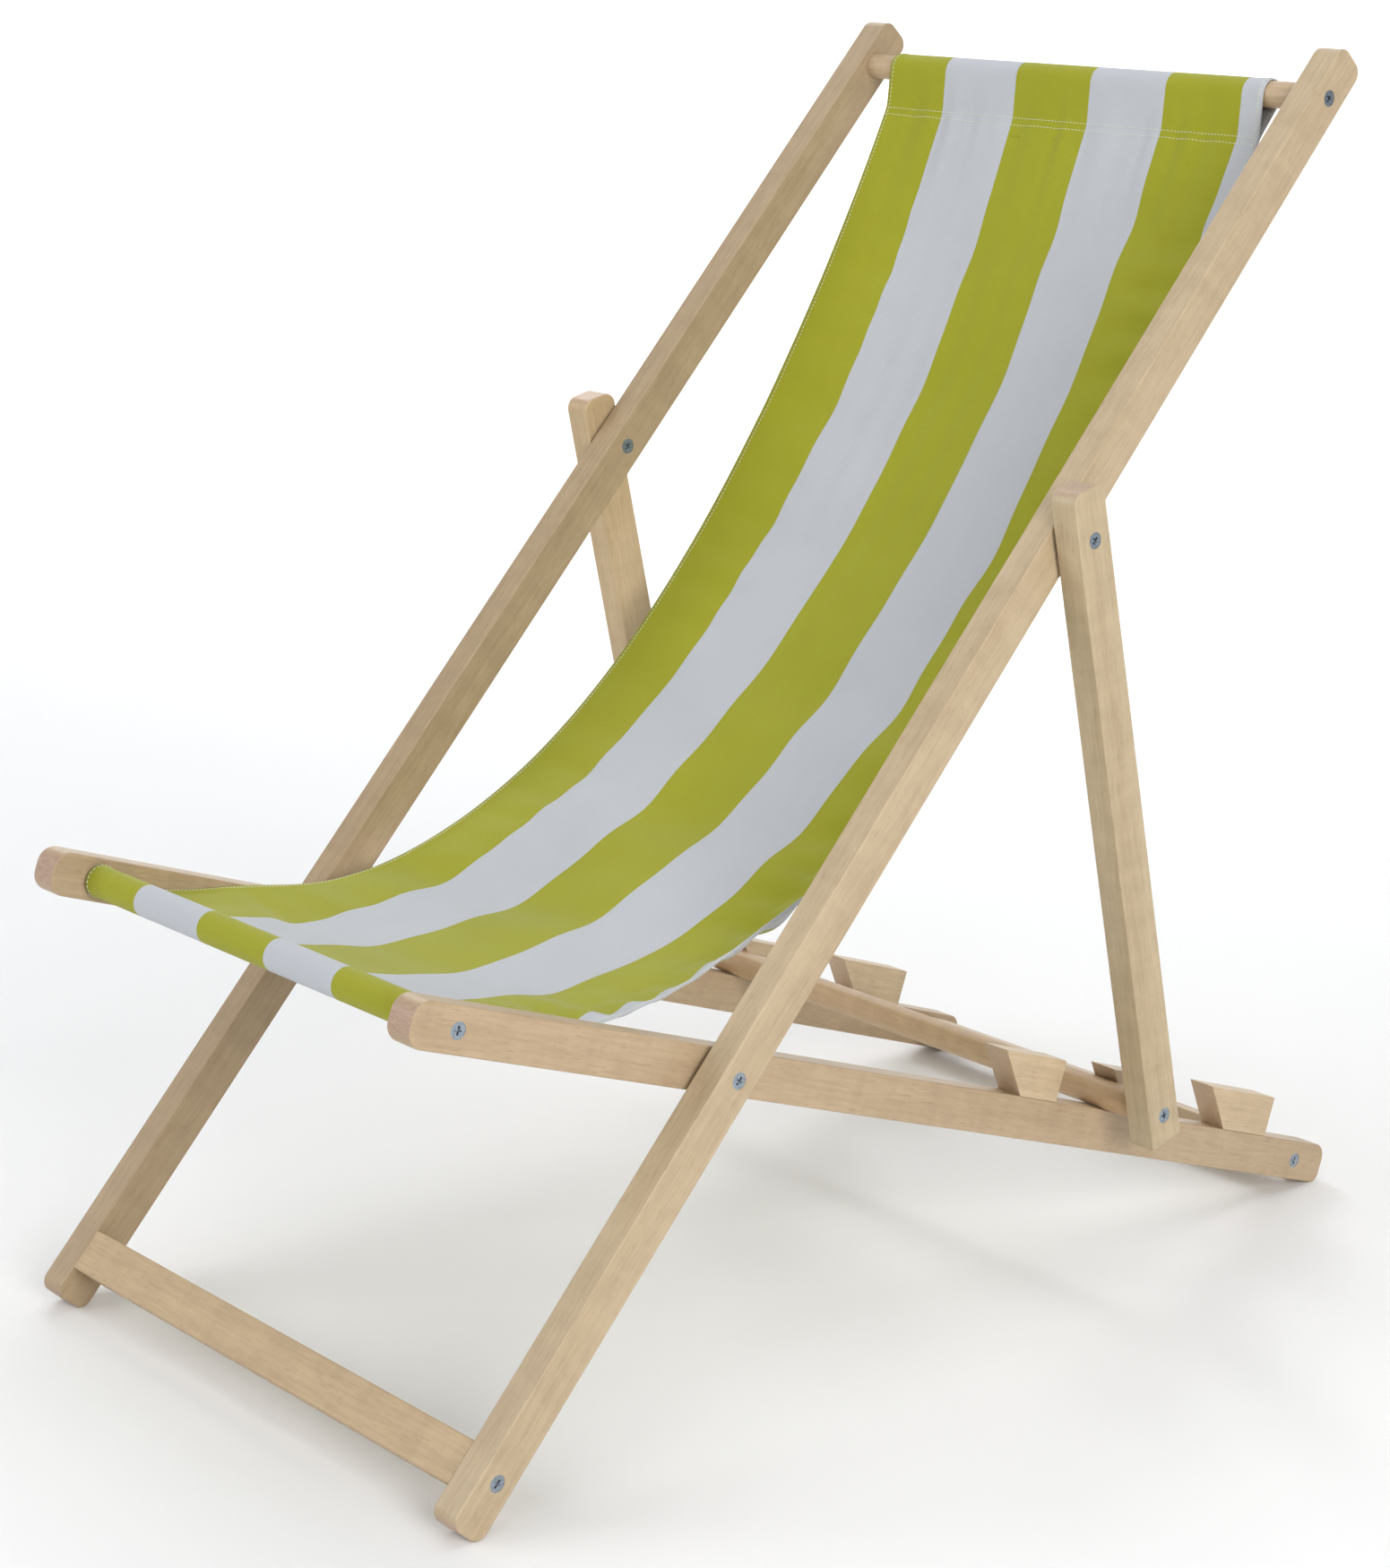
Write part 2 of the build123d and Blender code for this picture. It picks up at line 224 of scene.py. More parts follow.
# ------------------------------------------------------------------ zinc plated steel
def zinc():
    n = Nodes("zinc_plate")
    coord = n.add("ShaderNodeTexCoord")
    cloud = n.noise(coord.outputs["Object"], 420.0, 3.0, 0.6)
    # the mottle's dark end is darker than the plating alone, as painted shade for the dark ring round each
    # sunk head; the light end is the plating's own colour
    n.put(n.bsdf.inputs["Base Color"], n.mix(cloud, srgb(84, 98, 114), srgb(196, 206, 214)))
    n.put(n.bsdf.inputs["Roughness"], n.math("MULTIPLY_ADD", cloud, 0.22, 0.2))
    n.set(Metallic=1.0)
    return n.mat


ZINC = zinc()


# ------------------------------------------------------------------ canvas and thread
YARNS = 330.0                # the wave texture's scale that gives the weave's yarns


def canvas(name, low, high):
    """Plain-woven canvas; the UV map is in metres, across and along the cloth."""
    n = Nodes(name)
    uv = n.add("ShaderNodeUVMap", uv_map="cloth").outputs[0]

    def yarns(direction):
        inputs = {"Vector": uv, "Scale": YARNS, "Distortion": 0.6, "Detail": 1.0, "Detail Scale": 1.0}
        return n.add("ShaderNodeTexWave", inputs, wave_type="BANDS", bands_direction=direction).outputs["Fac"]

    weave = n.math("MULTIPLY", yarns("X"), yarns("Y"))
    slub = n.noise(n.scaled(uv, (1.0, 9.0, 1.0)), 130.0, 3.0, 0.6)
    cloud = n.noise(uv, 9.0, 3.0, 0.55)
    tone = n.math("ADD", n.math("MULTIPLY", slub, 0.45), n.math("MULTIPLY", cloud, 0.55))
    shade = n.ramp(weave, [(0.0, grey(0.90)), (0.6, grey(1.0))])
    n.put(n.bsdf.inputs["Base Color"], n.mix(0.8, n.mix(tone, low, high), shade, "MULTIPLY"))
    n.set(Roughness=0.86, Sheen_Weight=0.12, Sheen_Roughness=0.5, Specular_IOR_Level=0.25)
    n.bump(weave, 0.35, 0.0003)
    return n.mat


def plain(name, low, high, rough, scale):
    """A matt material that wanders a little between two colours."""
    n = Nodes(name)
    coord = n.add("ShaderNodeTexCoord")
    n.put(n.bsdf.inputs["Base Color"], n.mix(n.noise(coord.outputs["Object"], scale), low, high))
    n.set(Roughness=rough)
    return n.mat


def darker(colour, share):
    return tuple(c * share for c in colour)


GREEN = canvas("canvas_green", srgb(144, 145, 24), srgb(168, 169, 42))
WHITE = canvas("canvas_white", srgb(177, 180, 186), srgb(199, 202, 207))
THREAD_COLOUR = srgb(222, 226, 200)
THREAD = plain("thread", darker(THREAD_COLOUR, 0.8), THREAD_COLOUR, 0.8, 900.0)


# ------------------------------------------------------------------ materials on the CAD pieces
METAL_WORDS = ("screws", "bolts", "sleeves", "spacers", "washers")


def material_of(name):
    if any(word in name for word in METAL_WORDS):
        return ZINC
    return next(wood for word, wood in WOOD.items() if name.startswith(word))


for name, obj in frame["nodes"].items():
    obj.data.materials.clear()
    obj.data.materials.append(material_of(name))

# ------------------------------------------------------------------ the sling's sizes
# stripe edges across the cloth, from the -X side, in metres from the middle
STRIPES = [-HALF, -0.1357, -0.0554, 0.0255, 0.1040, 0.1804, HALF]
STRIPE_GREEN = [True, False, True, False, True, False]
CLOTH = 0.0011               # thickness of one layer
HEM = 0.009                  # width of the doubled side hems
HEM_STEP = 0.0012            # the width over which a side hem thickens
EDGE = 0.0004                # the width over which the very edge thins
HEM_LINE = 0.0042            # from the cloth's edge to the side hem's stitches
COLUMN = 0.0068              # grid spacing across
ROW = 0.0062                 # grid spacing along
FINER = 2                    # how much finer the grid is after the simulation
LOOP = DOWEL + 0.0011        # the cloth's middle from the dowel's axis
SEAM = 0.036                 # from a dowel's axis to the first row of stitches
TWIN = 0.0058                # between the two rows
FLAP = 0.016                 # how far a flap runs on past its first row
LAYER = 0.0017               # between two layers of cloth
SLACK = 1.126                # the cloth between the dowels over the straight line


# ------------------------------------------------------------------ the cloth's path in the YZ plane
def lengths(points):
    return np.r_[0, np.cumsum(np.hypot(*np.diff(points, axis=0).T))]


def along(points, s):
    """Points of a curve at the given lengths along it."""
    run = lengths(points)
    return np.c_[np.interp(s, run, points[:, 0]), np.interp(s, run, points[:, 1])]


def hanging(a, b, slack):
    """A catenary from a to b as (y, z) points, denser than the grid."""
    run, rise = b[0] - a[0], b[1] - a[1]
    whole = slack * math.hypot(run, rise)
    goal = math.sqrt(whole**2 - rise**2) / run
    low, high = 1e-6, 20.0
    for _ in range(60):
        mid = (low + high) / 2
        low, high = (mid, high) if math.sinh(mid) / mid < goal else (low, mid)
    scale = run / (2 * low)
    lowest = (a[0] + b[0]) / 2 - scale * math.asinh(rise / (2 * scale * math.sinh(run / (2 * scale))))
    level = a[1] - scale * math.cosh((a[0] - lowest) / scale)
    y = np.linspace(a[0], b[0], 600)
    return np.c_[y, scale * np.cosh((y - lowest) / scale) + level]


def loop(centre, seam):
    """The arc round a dowel between the two tangents from the seam."""
    to_seam = seam - centre
    middle_angle = math.atan2(to_seam[1], to_seam[0])
    spread = math.acos(LOOP / math.hypot(*to_seam))
    angles = np.linspace(middle_angle + spread, middle_angle - spread + 2 * math.pi, 60)
    return np.c_[centre[0] + LOOP * np.cos(angles), centre[1] + LOOP * np.sin(angles)]


def flap(curve, s):
    """The inner layer of a seam: under the panel, at the given lengths along the curve."""
    here, ahead = along(curve, s), along(curve, s + 0.001)
    d = (ahead - here) / np.hypot(*(ahead - here).T)[:, None]
    return here + np.c_[d[:, 1], -d[:, 0]] * LAYER


def straight(a, b):
    return np.linspace(a, b, 14)


def cloth_path():
    """Top flap, loop round the top dowel, panel, loop round the front dowel, front flap. Gives the path,
    and the lengths along it at which the two seams lie on the upper side."""
    front, top = FRONT[1:], TOP[1:]
    curve = hanging(front, top, SLACK)
    total = lengths(curve)[-1]
    panel = along(curve, np.linspace(total - SEAM, SEAM, 500))
    flap_s = np.linspace(0, FLAP, 10)
    top_flap = flap(curve, total - SEAM - flap_s)[::-1]
    front_flap = flap(curve, SEAM + flap_s)
    top_loop = loop(top, panel[0])
    front_loop = loop(front, panel[-1])
    parts = [
        top_flap[:-1],
        straight(top_flap[-1], top_loop[0])[:-1],
        top_loop[:-1],
        straight(top_loop[-1], panel[0])[:-1],
        panel[:-1],
        straight(panel[-1], front_loop[0])[:-1],
        front_loop[:-1],
        straight(front_loop[-1], front_flap[0])[:-1],
        front_flap,
    ]
    path = np.vstack(parts)
    run = lengths(path)
    after_part = np.cumsum([len(part) for part in parts])
    return path, run[after_part[3]], run[after_part[4]]


def stripe_columns():
    """Where the grid's columns lie across the cloth, with one on each stripe's edge."""
    columns = []
    for left, right in zip(STRIPES[:-1], STRIPES[1:]):
        count = max(2, round((right - left) / COLUMN))
        columns += list(np.linspace(left, right, count + 1)[:-1])
    return np.array(columns + [HALF])


path, s_top, s_front = cloth_path()
length = lengths(path)[-1]
s_rows = np.linspace(0, length, int(length / ROW) + 1)
line = along(path, s_rows)
columns = stripe_columns()


# ------------------------------------------------------------------ shape helpers
def smooth(x):
    """A soft step from 0 to 1."""
    x = np.clip(x, 0, 1)
    return x**2 * (3 - 2 * x)


def clear_of(v, start, start_width, end, end_width):
    """1 along the cloth between start and end, and softly down to 0 at both."""
    return smooth(np.clip((v - start) / start_width, 0, 1) * np.clip((end - v) / end_width, 0, 1))


def hump(v, at, width):
    return np.exp(-(((v - at) / width) ** 2))


def eased(stops, at):
    """A smooth curve through a few stops."""
    x, y = np.array(stops).T
    dense = np.linspace(0, 1, 201)
    soft = np.interp(dense, x, y)
    window = 13
    for _ in range(3):
        soft = np.convolve(np.pad(soft, window // 2, "edge"), np.ones(window) / window, "valid")
    soft -= soft[0] * (1 - dense) + soft[-1] * dense
    return np.interp(at, dense, soft)


def bowl(u, deepest):
    """0 at both hems and 1 at the deepest place, a share of the half width from the middle."""
    return 1 - ((u - deepest) / np.where(u < deepest, 1 + deepest, 1 - deepest)) ** 2


# ------------------------------------------------------------------ settling the cloth
# each stop is a share of the way from the top seam to the front seam, and an offset along the normal there
RIM = ((0, 0), (0.06, -0.003), (0.15, 0.0), (0.25, 0.003), (0.43, 0.012), (0.58, 0.010), (0.76, 0.006),
       (0.9, 0.004), (1, 0))
HOLLOW = ((0, 0), (0.05, -0.004), (0.11, -0.0085), (0.18, -0.012), (0.28, -0.0155), (0.42, -0.014),
          (0.5, -0.010), (0.6, -0.005), (0.75, -0.003), (1, 0))
SET = ((0, 0), (0.03, -0.005), (0.10, -0.0085), (0.2, -0.0125), (0.3, -0.0095), (0.38, -0.0055),
       (0.46, -0.002), (0.52, -0.001), (0.57, -0.002), (0.62, 0.002), (0.7, -0.001), (0.82, -0.002),
       (0.9, -0.002), (1, 0))
HOLLOW_DEEPEST = -0.15       # shares of the half width
SET_DEEPEST = -0.4
FRAMES = 60


def sheet_of(name, points):
    """A sheet of quads whose points[row, column] are its places."""
    rows, across = points.shape[:2]
    index = np.arange(rows * across).reshape(rows, across)
    quads = np.stack([index[:-1, :-1], index[1:, :-1], index[1:, 1:], index[:-1, 1:]], -1).reshape(-1, 4)
    mesh = bpy.data.meshes.new(name)
    mesh.from_pydata(points.reshape(-1, 3).tolist(), [], quads.tolist())
    return show(name, mesh)


def hang(points):
    """Lets the panel sag under its own weight, with its loops held round the dowels."""
    obj = sheet_of("sling_sim", points)
    held_rows = (s_rows < s_top + TWIN) | (s_rows > s_front - TWIN)
    held = np.flatnonzero(np.repeat(held_rows, len(columns)))
    group = obj.vertex_groups.new(name="held")
    group.add(held.tolist(), 1.0, "REPLACE")
    cloth = obj.modifiers.new("cloth", "CLOTH")
    settings = cloth.settings
    settings.quality = 9
    settings.mass = 0.35
    settings.vertex_group_mass = "held"
    settings.tension_stiffness = 60
    settings.compression_stiffness = 40
    settings.shear_stiffness = 12
    settings.bending_stiffness = 3.0
    settings.tension_damping = 12
    settings.bending_damping = 2.0
    settings.air_damping = 2.5
    cloth.collision_settings.use_collision = False
    cloth.collision_settings.use_self_collision = False
    scene = bpy.context.scene
    for holder in (scene, cloth.point_cache):
        holder.frame_start = 1
        holder.frame_end = FRAMES
    for step in range(1, FRAMES + 1):
        scene.frame_set(step)
    evaluated = obj.evaluated_get(bpy.context.evaluated_depsgraph_get())
    out = np.zeros(len(evaluated.data.vertices) * 3)
    evaluated.data.vertices.foreach_get("co", out)
    scene.frame_set(1)
    bpy.data.objects.remove(obj)
    return out.reshape(points.shape)


def settled_cloth():
    """The path made a sheet with a hollow down its middle, then hung, then given the set of worn cloth,
    which has stretched between its hems, more in the upper half."""
    tangent = np.gradient(line, axis=0)
    tangent /= np.hypot(*tangent.T)[:, None]
    normal = np.c_[tangent[:, 1], -tangent[:, 0]]
    t = np.clip((s_rows - s_top) / (s_front - s_top), 0, 1)
    u = columns / HALF

    def push(points, offset):
        points[:, :, 1] += offset * normal[:, 0][:, None]
        points[:, :, 2] += offset * normal[:, 1][:, None]

    points = np.zeros((len(s_rows), len(columns), 3))
    points[:, :, 0] = columns[None, :]
    points[:, :, 1] = line[:, 0][:, None]
    points[:, :, 2] = line[:, 1][:, None]
    push(points, eased(RIM, t)[:, None] + eased(HOLLOW, t)[:, None] * bowl(u, HOLLOW_DEEPEST)[None, :])
    hung = hang(points)
    push(hung, eased(SET, t)[:, None] * bowl(u, SET_DEEPEST)[None, :])
    return hung


def refined(values, xs, factor):
    """Catmull-Rom refinement of the grid along its first axis."""
    n = values.shape[0]
    where = np.linspace(0, n - 1, (n - 1) * factor + 1)
    i = np.clip(where.astype(int), 0, n - 2)
    f = (where - i).reshape(-1, *([1] * (values.ndim - 1)))
    p0, p1 = values[np.clip(i - 1, 0, n - 1)], values[i]
    p2, p3 = values[i + 1], values[np.clip(i + 2, 0, n - 1)]
    first = (p2 - p0) * f
    second = (2 * p0 - 5 * p1 + 4 * p2 - p3) * f**2
    third = (3 * p1 - p0 - 3 * p2 + p3) * f**3
    return 0.5 * (2 * p1 + first + second + third), np.interp(where, np.arange(n), xs)


def normals_of(grid):
    """Unit normals, away from the dowels and up on the panel."""
    n = np.cross(np.gradient(grid, axis=1), np.gradient(grid, axis=0))
    n /= np.linalg.norm(n, axis=2)[:, :, None]
    return n if n[n.shape[0] // 2, n.shape[1] // 2, 2] > 0 else -n


fine, s_fine = refined(settled_cloth(), s_rows, FINER)
fine, x_fine = refined(fine.transpose(1, 0, 2), columns, FINER)
fine = fine.transpose(1, 0, 2)

# U runs from -1 at the far hem to 1 at the near hem, V from 0 at the top seam to 1 at the front seam
U, V = np.meshgrid(x_fine / HALF, np.clip((s_fine - s_top) / (s_front - s_top), 0, 1))


# ------------------------------------------------------------------ relief on the settled cloth
FOLD = 0.0026                # heights in metres
SLANTED_FOLD = 0.0011
LONG_FOLD = 0.0013
FLUTE = 0.0008
FINE_FLUTE = 0.0004
PUCKER = 0.0019
BULGE = 0.0042
FAR_RISE = 0.0105
CURL_WIDTH = 0.052           # the strip along the near hem that stands up
CURL_TURN = math.radians(64)
BULGE_PITCH = 0.044


def soft_folds():
    """Soft folds across the cloth, calm at the hems and on the far side of the upper half."""
    phase = 49 * V + 1.3 * U + 0.8 * np.sin(2.1 * U + 6.3 * V)
    wave = np.sin(phase) + 0.38 * np.sin(2 * phase + 0.9)
    folds = FOLD * wave * (0.75 + 0.35 * np.sin(3.1 * U + 11 * V + 1.0))
    folds += SLANTED_FOLD * np.sin(-3.8 * U + 71 * V + 2.0) * (0.5 + 0.5 * np.sin(2.4 * U - 9 * V))
    folds += LONG_FOLD * np.sin(7.0 * U + 17 * V + 0.7)
    at_hem = np.clip((np.abs(U) - 0.70) / 0.30, 0, 1) ** 1.5
    near_side = np.clip((U + 0.1) / 0.7, 0, 1)
    lower_half = np.clip((V - 0.42) / 0.2, 0, 1)
    return folds * (1 - 0.92 * at_hem) * (0.42 + 0.58 * np.maximum(near_side, lower_half))


def flutes():
    """Small flutes that run away from the two seams."""
    below = s_fine - s_top - TWIN
    top_fade = np.where(below > 0, np.exp(-np.clip(below, 0, None) / 0.055), np.exp(-np.abs(below) / 0.018))
    top_fade *= s_fine > s_top - 0.03
    front_fade = np.exp(-np.clip(s_front - s_fine, 0, None) / 0.04) * (s_fine < s_front)
    wave = FLUTE * np.sin(x_fine * 150 + 1.4 * np.sin(x_fine * 47))
    wave += FINE_FLUTE * np.sin(x_fine * 283 + 2.0 * np.sin(x_fine * 61))
    return (top_fade + 0.8 * front_fade)[:, None] * wave[None, :]


def puckers():
    """Puckers along both hems, stronger along the near one."""
    s = s_fine[:, None]
    beside_hem = np.clip((np.abs(U) - 0.55) / 0.45, 0, 1)
    strength = 4 * beside_hem * (1 - beside_hem) * np.where(U > 0, 1.0, 0.35)
    return PUCKER * np.sin(s * 139 + 2 * np.sin(s * 23) + np.sign(U)) * strength


def near_curl():
    """The near hem is taut, so the cloth beside it stands up: how far each point stands, and is drawn in."""
    share = np.clip((x_fine - (HALF - CURL_WIDTH)) / CURL_WIDTH, 0, 1)
    turn = CURL_TURN * share**1.2
    steps = np.diff(x_fine, prepend=x_fine[0])
    stand = np.cumsum(np.sin(turn) * steps)
    drawn = np.cumsum((np.cos(turn) - 1) * steps)
    taut = clear_of(V, 0.04, 0.24, 0.99, 0.30) * (1 - 0.30 * hump(V, 0.61, 0.06))
    # the cloth bulges over the hem in the lower half, and the hem itself stays straight
    scallop = 0.5 + 0.5 * np.sin(2 * math.pi / BULGE_PITCH * s_fine + 1.1 * np.sin(31 * s_fine))
    bulge = BULGE * scallop[:, None] * (4 * share * (1 - share))[None, :]
    bulge *= np.clip((V - 0.5) / 0.1, 0, 1) * np.clip((0.97 - V) / 0.04, 0, 1)
    return stand[None, :] * taut + bulge, drawn[None, :] * taut


def far_rise():
    """The far hem is drawn straight from the front dowel."""
    far_edge = np.clip((-U - 0.45) / 0.55, 0, 1) ** 2
    return FAR_RISE * far_edge * hump(V, 0.91, 0.065) * np.clip((1 - V) / 0.02, 0, 1)


stand, drawn = near_curl()
between_seams = clear_of(V, 0.02, 0.07, 0.985, 0.09)
relief = (soft_folds() + puckers()) * between_seams + flutes() + stand + far_rise()
outward = normals_of(fine)
fine[:, :, 0] += drawn
fine = fine + outward * relief[:, :, None]
NORMAL = normals_of(fine)

# one layer thick on the panel, two in the side hems, thinner at the very edge
hem = np.clip((np.abs(x_fine) - (HALF - HEM)) / HEM_STEP, 0, 1)[None, :]
edge = np.clip((HALF - np.abs(x_fine)) / EDGE, 0.35, 1)[None, :]
half_thick = CLOTH / 2 * (1 + 0.7 * hem) * edge * np.ones((len(s_fine), 1))
upper = fine + NORMAL * half_thick[:, :, None]
lower = fine - NORMAL * half_thick[:, :, None]


def closed_sheet(name, top_side, bottom_side):
    """The cloth as a closed mesh with its stripes."""
    rows, across = top_side.shape[:2]
    high = np.arange(rows * across).reshape(rows, across)
    low = high + rows * across
    over = np.stack([high[:-1, :-1], high[:-1, 1:], high[1:, 1:], high[1:, :-1]], -1).reshape(-1, 4)
    under = np.stack([low[:-1, :-1], low[1:, :-1], low[1:, 1:], low[:-1, 1:]], -1).reshape(-1, 4)
    borders = (
        (high[0], low[0]),
        (high[-1][::-1], low[-1][::-1]),
        (high[:, 0][::-1], low[:, 0][::-1]),
        (high[:, -1], low[:, -1]),
    )
    rims = [np.stack([a[:-1], b[:-1], b[1:], a[1:]], -1) for a, b in borders]
    faces = np.vstack([over, under, *rims])
    places = np.vstack([top_side.reshape(-1, 3), bottom_side.reshape(-1, 3)])
    mesh = bpy.data.meshes.new(name)
    mesh.from_pydata(places.tolist(), [], faces.tolist())
    # the UV map in metres
    u_metres = np.tile(np.tile(x_fine, rows), 2)
    v_metres = np.tile(np.repeat(s_fine, across), 2)
    corners = np.zeros(len(mesh.loops), int)
    mesh.loops.foreach_get("vertex_index", corners)
    uv = np.c_[u_metres[corners], v_metres[corners]].astype(np.float32)
    mesh.uv_layers.new(name="cloth").data.foreach_set("uv", uv.ravel())
    # the stripes, as material slots
    mesh.materials.append(GREEN)
    mesh.materials.append(WHITE)
    stripe = np.searchsorted(STRIPES[1:-1], u_metres[faces].mean(axis=1))
    slots = np.array([0 if STRIPE_GREEN[k] else 1 for k in stripe], np.int32)
    mesh.polygons.foreach_set("material_index", slots)
    mesh.polygons.foreach_set("use_smooth", np.ones(len(faces), bool))
    mesh.update()
    work = bmesh.new()
    work.from_mesh(mesh)
    bmesh.ops.recalc_face_normals(work, faces=work.faces)
    work.to_mesh(mesh)
    work.free()
    return show(name, mesh)


sling = closed_sheet("sling_cloth", upper, lower)

# ------------------------------------------------------------------ stitching
STITCH_PITCH = 0.0034
STITCH_FILL = 0.68           # a stitch's length over the pitch
THREAD_RADIUS = 0.00034
STITCH_RINGS = (-1.0, -0.6, 0.0, 0.6, 1.0)
STITCH_SIDES = 6
SEAM_INSET = 0.0012          # a seam's stitches stop this far from the cloth's edges
END_INSET = 0.004            # a side hem's stitches stop this far from its ends


def surface(x, s):
    """The cloth's upper face, lower face and normal at a place given in flat coordinates."""
    i = np.clip(np.searchsorted(s_fine, s) - 1, 0, len(s_fine) - 2)
    j = np.clip(np.searchsorted(x_fine, x) - 1, 0, len(x_fine) - 2)
    f = np.clip((s - s_fine[i]) / (s_fine[i + 1] - s_fine[i]), 0, 1)
    g = np.clip((x - x_fine[j]) / (x_fine[j + 1] - x_fine[j]), 0, 1)

    def at(grid):
        here = grid[i, j] * (1 - f) + grid[i + 1, j] * f
        beside = grid[i, j + 1] * (1 - f) + grid[i + 1, j + 1] * f
        return here * (1 - g) + beside * g

    return at(upper), at(lower), at(NORMAL)


def add_stitch(verts, faces, a, b, n):
    """One stitch from a to b, thickest and highest at its middle. n points out of the cloth."""
    ahead = (b - a) / max(np.linalg.norm(b - a), 1e-9)
    side = np.cross(n, ahead)
    side /= np.linalg.norm(side)
    n = np.cross(ahead, side)
    first = len(verts)
    for r in STITCH_RINGS:
        centre = (a + b) / 2 + (b - a) / 2 * r
        width = THREAD_RADIUS * math.sqrt(max(1 - (r * 0.96) ** 2, 0.05))
        lift = n * (THREAD_RADIUS * 0.35 * (1 - r * r))
        for q in range(STITCH_SIDES):
            angle = 2 * math.pi * q / STITCH_SIDES
            verts.append(centre + lift + side * (width * math.cos(angle)) + n * (width * math.sin(angle)))
    last = first + (len(STITCH_RINGS) - 1) * STITCH_SIDES
    for ring in range(first, last, STITCH_SIDES):
        for q in range(STITCH_SIDES):
            p, p2 = ring + q, ring + (q + 1) % STITCH_SIDES
            faces.append((p, p2, p2 + STITCH_SIDES, p + STITCH_SIDES))
    faces.append(tuple(first + q for q in reversed(range(STITCH_SIDES))))
    faces.append(tuple(last + q for q in range(STITCH_SIDES)))


def stitch_rows(name, runs):
    """Runs of lockstitches along lines given in flat coordinates, on both faces of the cloth."""
    verts, faces = [], []
    for (x0, s0), (x1, s1) in runs:
        whole = math.hypot(x1 - x0, s1 - s0)
        for k in range(int(whole / STITCH_PITCH)):
            c0 = (k + 0.5 - STITCH_FILL / 2) * STITCH_PITCH / whole
            c1 = (k + 0.5 + STITCH_FILL / 2) * STITCH_PITCH / whole
            above_a, below_a, n = surface(x0 + (x1 - x0) * c0, s0 + (s1 - s0) * c0)
            above_b, below_b, _ = surface(x0 + (x1 - x0) * c1, s0 + (s1 - s0) * c1)
            add_stitch(verts, faces, above_a, above_b, n)
            add_stitch(verts, faces, below_a, below_b, -n)
    mesh = bpy.data.meshes.new(name)
    mesh.from_pydata([tuple(v) for v in verts], [], faces)
    mesh.polygons.foreach_set("use_smooth", np.ones(len(faces), bool))
    mesh.materials.append(THREAD)
    mesh.update()
    return show(name, mesh)


seam_lines = [((SEAM_INSET - HALF, s), (HALF - SEAM_INSET, s))
              for s in (s_top, s_top + TWIN, s_front, s_front - TWIN)]
hem_lines = [((x, END_INSET), (x, length - END_INSET)) for x in (HEM_LINE - HALF, HALF - HEM_LINE)]
stitches = stitch_rows("sling_stitches", seam_lines + hem_lines)

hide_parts("sling")
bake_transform(sling)
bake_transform(stitches)

# ------------------------------------------------------------------ camera
CAMERA_FROM_PIVOT = (1.8143, -1.466214, 0.799286)
CAMERA_YAW = math.radians(47.2925)       # from looking along +Y, turning towards -X
CAMERA_PITCH = math.radians(-13.5706)
CAMERA_ROLL = math.radians(0.9231)
LENS, SENSOR = 75.783, 36.0              # mm
SHIFT = (-0.014, -0.065714)

level = Matrix.Rotation(CAMERA_YAW, 4, "Z") @ Matrix.Rotation(math.pi / 2 + CAMERA_PITCH, 4, "X")
turned = level @ Matrix.Rotation(CAMERA_ROLL, 4, "Z")
camera_data = bpy.data.cameras.new("camera")
camera_data.sensor_width = SENSOR
camera_data.lens = LENS
camera_data.shift_x, camera_data.shift_y = SHIFT
camera_data.clip_end = 60
camera = show("camera", camera_data)
camera.matrix_world = Matrix.Translation(Vector(PIVOT) + Vector(CAMERA_FROM_PIVOT)) @ turned
bpy.context.scene.camera = camera

# ------------------------------------------------------------------ floor and light
FLOOR_WIDE = 9.0
BACKDROP_AT, BACKDROP_HIGH = 6.0, 6.0
BACKDROP_BEND = 2.5
STUDIO_WHITE = grey(0.86)


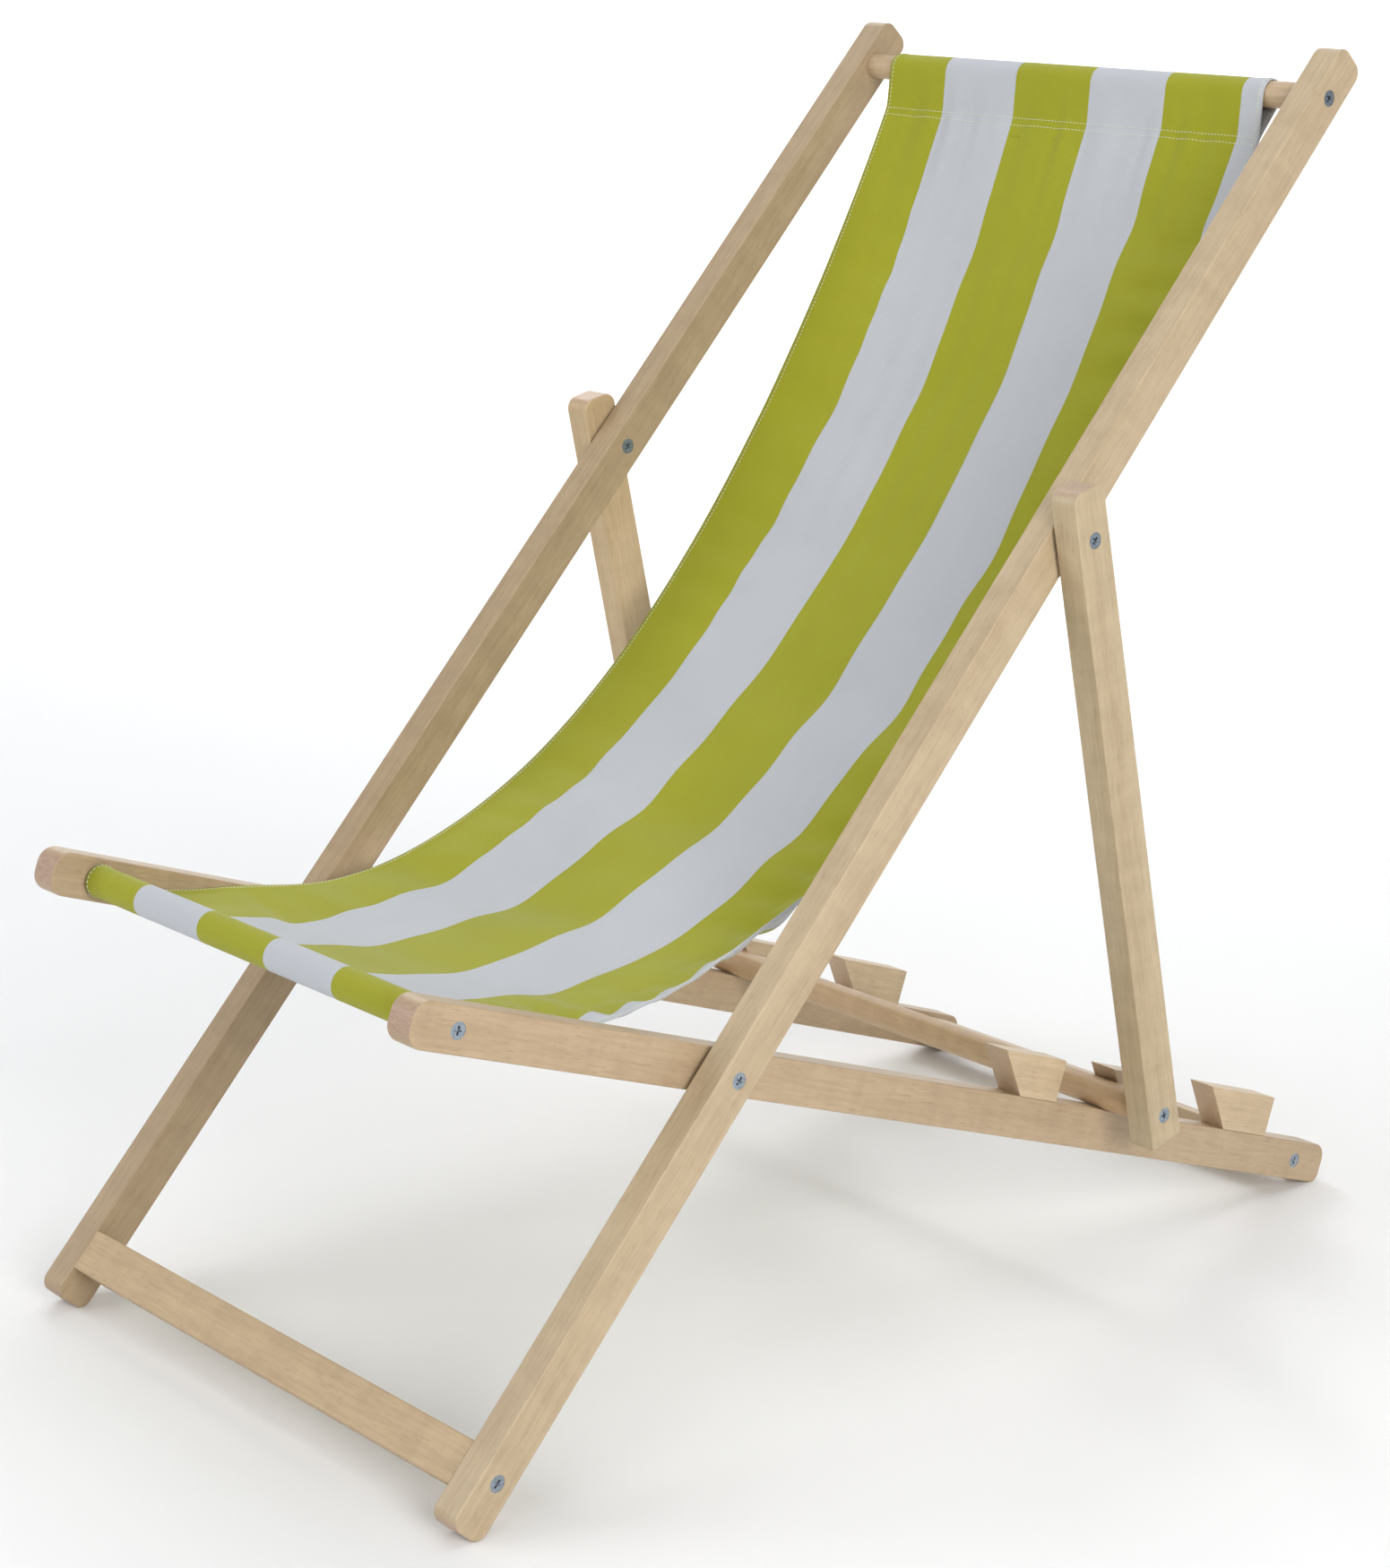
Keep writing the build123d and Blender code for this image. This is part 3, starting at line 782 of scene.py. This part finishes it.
def sweep(name):
    """A pale floor that curves up into a backdrop well behind the chair, square to the camera."""
    bend_from = BACKDROP_AT - BACKDROP_BEND
    profile = [(-FLOOR_WIDE, 0.0), (bend_from, 0.0)]
    for a in np.linspace(0.08, math.pi / 2, 18):
        profile.append((bend_from + BACKDROP_BEND * math.sin(a), BACKDROP_BEND * (1 - math.cos(a))))
    profile.append((BACKDROP_AT, BACKDROP_HIGH))
    side = Vector((math.cos(CAMERA_YAW), math.sin(CAMERA_YAW), 0))
    ahead = Vector((-math.sin(CAMERA_YAW), math.cos(CAMERA_YAW), 0))
    verts = [ahead * d + side * w + Vector((0, 0, z)) for d, z in profile for w in (-FLOOR_WIDE, FLOOR_WIDE)]
    faces = [(k, k + 1, k + 3, k + 2) for k in range(0, len(verts) - 2, 2)]
    mesh = bpy.data.meshes.new(name)
    mesh.from_pydata([tuple(v) for v in verts], [], faces)
    mesh.polygons.foreach_set("use_smooth", np.ones(len(faces), bool))
    mesh.materials.append(plain("studio_white", STUDIO_WHITE, darker(STUDIO_WHITE, 0.985), 0.9, 3.0))
    return show(name, mesh)


def lamp(name, at, aim, wide, watts, colour):
    data = bpy.data.lights.new(name, "AREA")
    data.shape = "RECTANGLE"
    data.size, data.size_y = wide
    data.energy = watts
    data.color = colour
    obj = show(name, data)
    obj.location = at
    obj.rotation_mode = "QUATERNION"
    obj.rotation_quaternion = (Vector(aim) - Vector(at)).to_track_quat("-Z", "Y")


# name, place, aim, size in metres, watts, colour
LAMPS = (
    ("key", (3.2, -1.1, 1.55), (0, 0, 0.35), (2.0, 1.6), 78, (1.0, 0.99, 0.975)),
    ("fill", (-1.9, -3.2, 1.9), (0, 0, 0.4), (2.6, 2.0), 60, (0.98, 0.985, 0.99)),
    ("overhead", (0.2, 0.6, 3.6), (0, 0, 0.3), (3.2, 3.2), 38, (0.98, 0.99, 1.0)),
    ("backdrop_left", (-4.6, 2.0, 3.8), (-3.4, 5.0, 2.2), (3.0, 2.0), 190, (1, 1, 1)),
    ("backdrop_right", (0.8, 4.2, 3.8), (-1.0, 6.6, 2.2), (3.0, 2.0), 190, (1, 1, 1)),
)
for row in LAMPS:
    lamp(*row)

world = bpy.data.worlds.new("studio")
world.use_nodes = True
background = world.node_tree.nodes["Background"]
background.inputs["Color"].default_value = (0.95, 0.97, 1.0, 1)
background.inputs["Strength"].default_value = 0.40
bpy.context.scene.world = world
bpy.context.scene.view_settings.view_transform = "Standard"

floor = sweep("studio_sweep")
